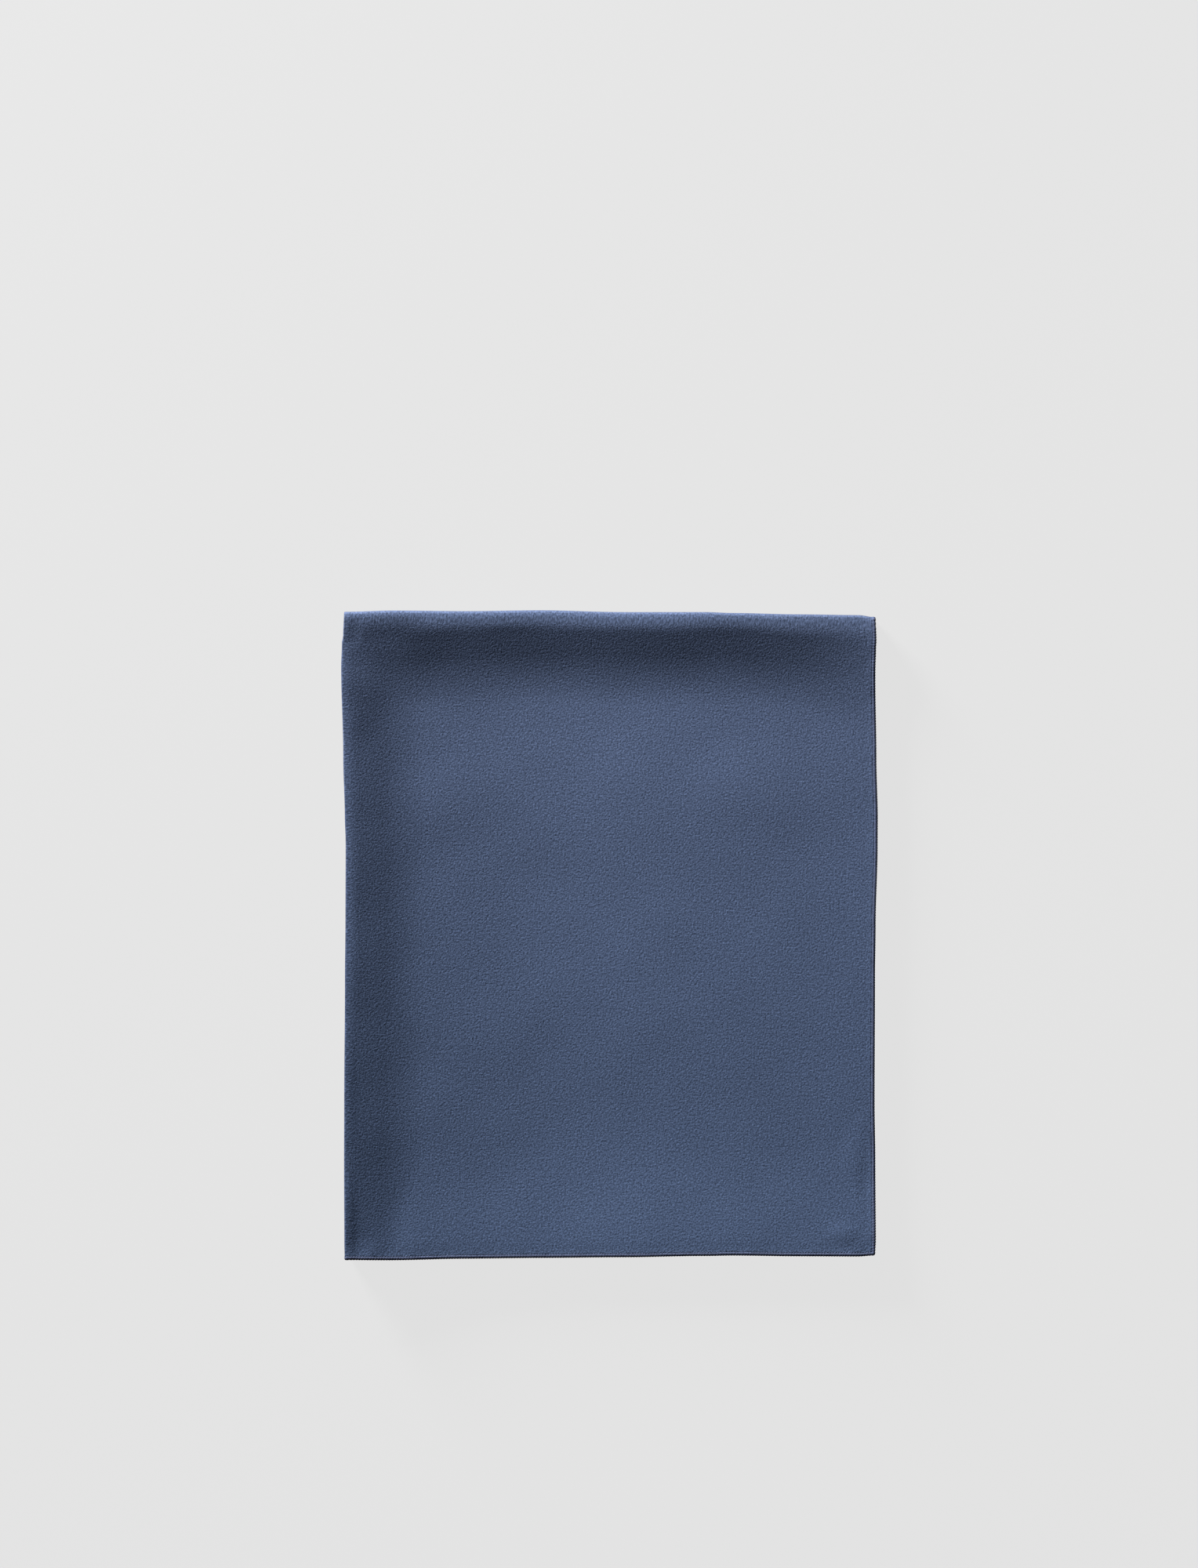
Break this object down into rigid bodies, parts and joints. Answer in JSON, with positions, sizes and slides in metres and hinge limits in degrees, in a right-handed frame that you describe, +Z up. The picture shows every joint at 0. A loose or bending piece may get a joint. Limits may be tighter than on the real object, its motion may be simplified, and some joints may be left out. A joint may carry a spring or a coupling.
{
  "type": "folded scarf",
  "caption": "Long thin crepe scarf with narrow rolled hems, folded into a flat rectangle with a soft rolled fold.",
  "frame": {"origin": "middle of the folded scarf's outline, on the surface that it lies on", "axes": "+Z up, +Y towards the thick rolled fold, +X towards the open hemmed edges"},
  "size_m": [0.351, 0.4254, 0.0255],
  "materials": {
    "crepe": "matte slate-blue crepe with a fine pebbled grain and a faint sheen",
    "hem": "the same crepe rolled and stitched, slightly greyer"
  },
  "bodies": {
    "root": {"crepe_panel": "crepe", "outer_side_hem": "hem", "inner_side_hem": "hem", "outer_end_hem": "hem", "inner_end_hem": "hem"}
  },
  "joints": []
}
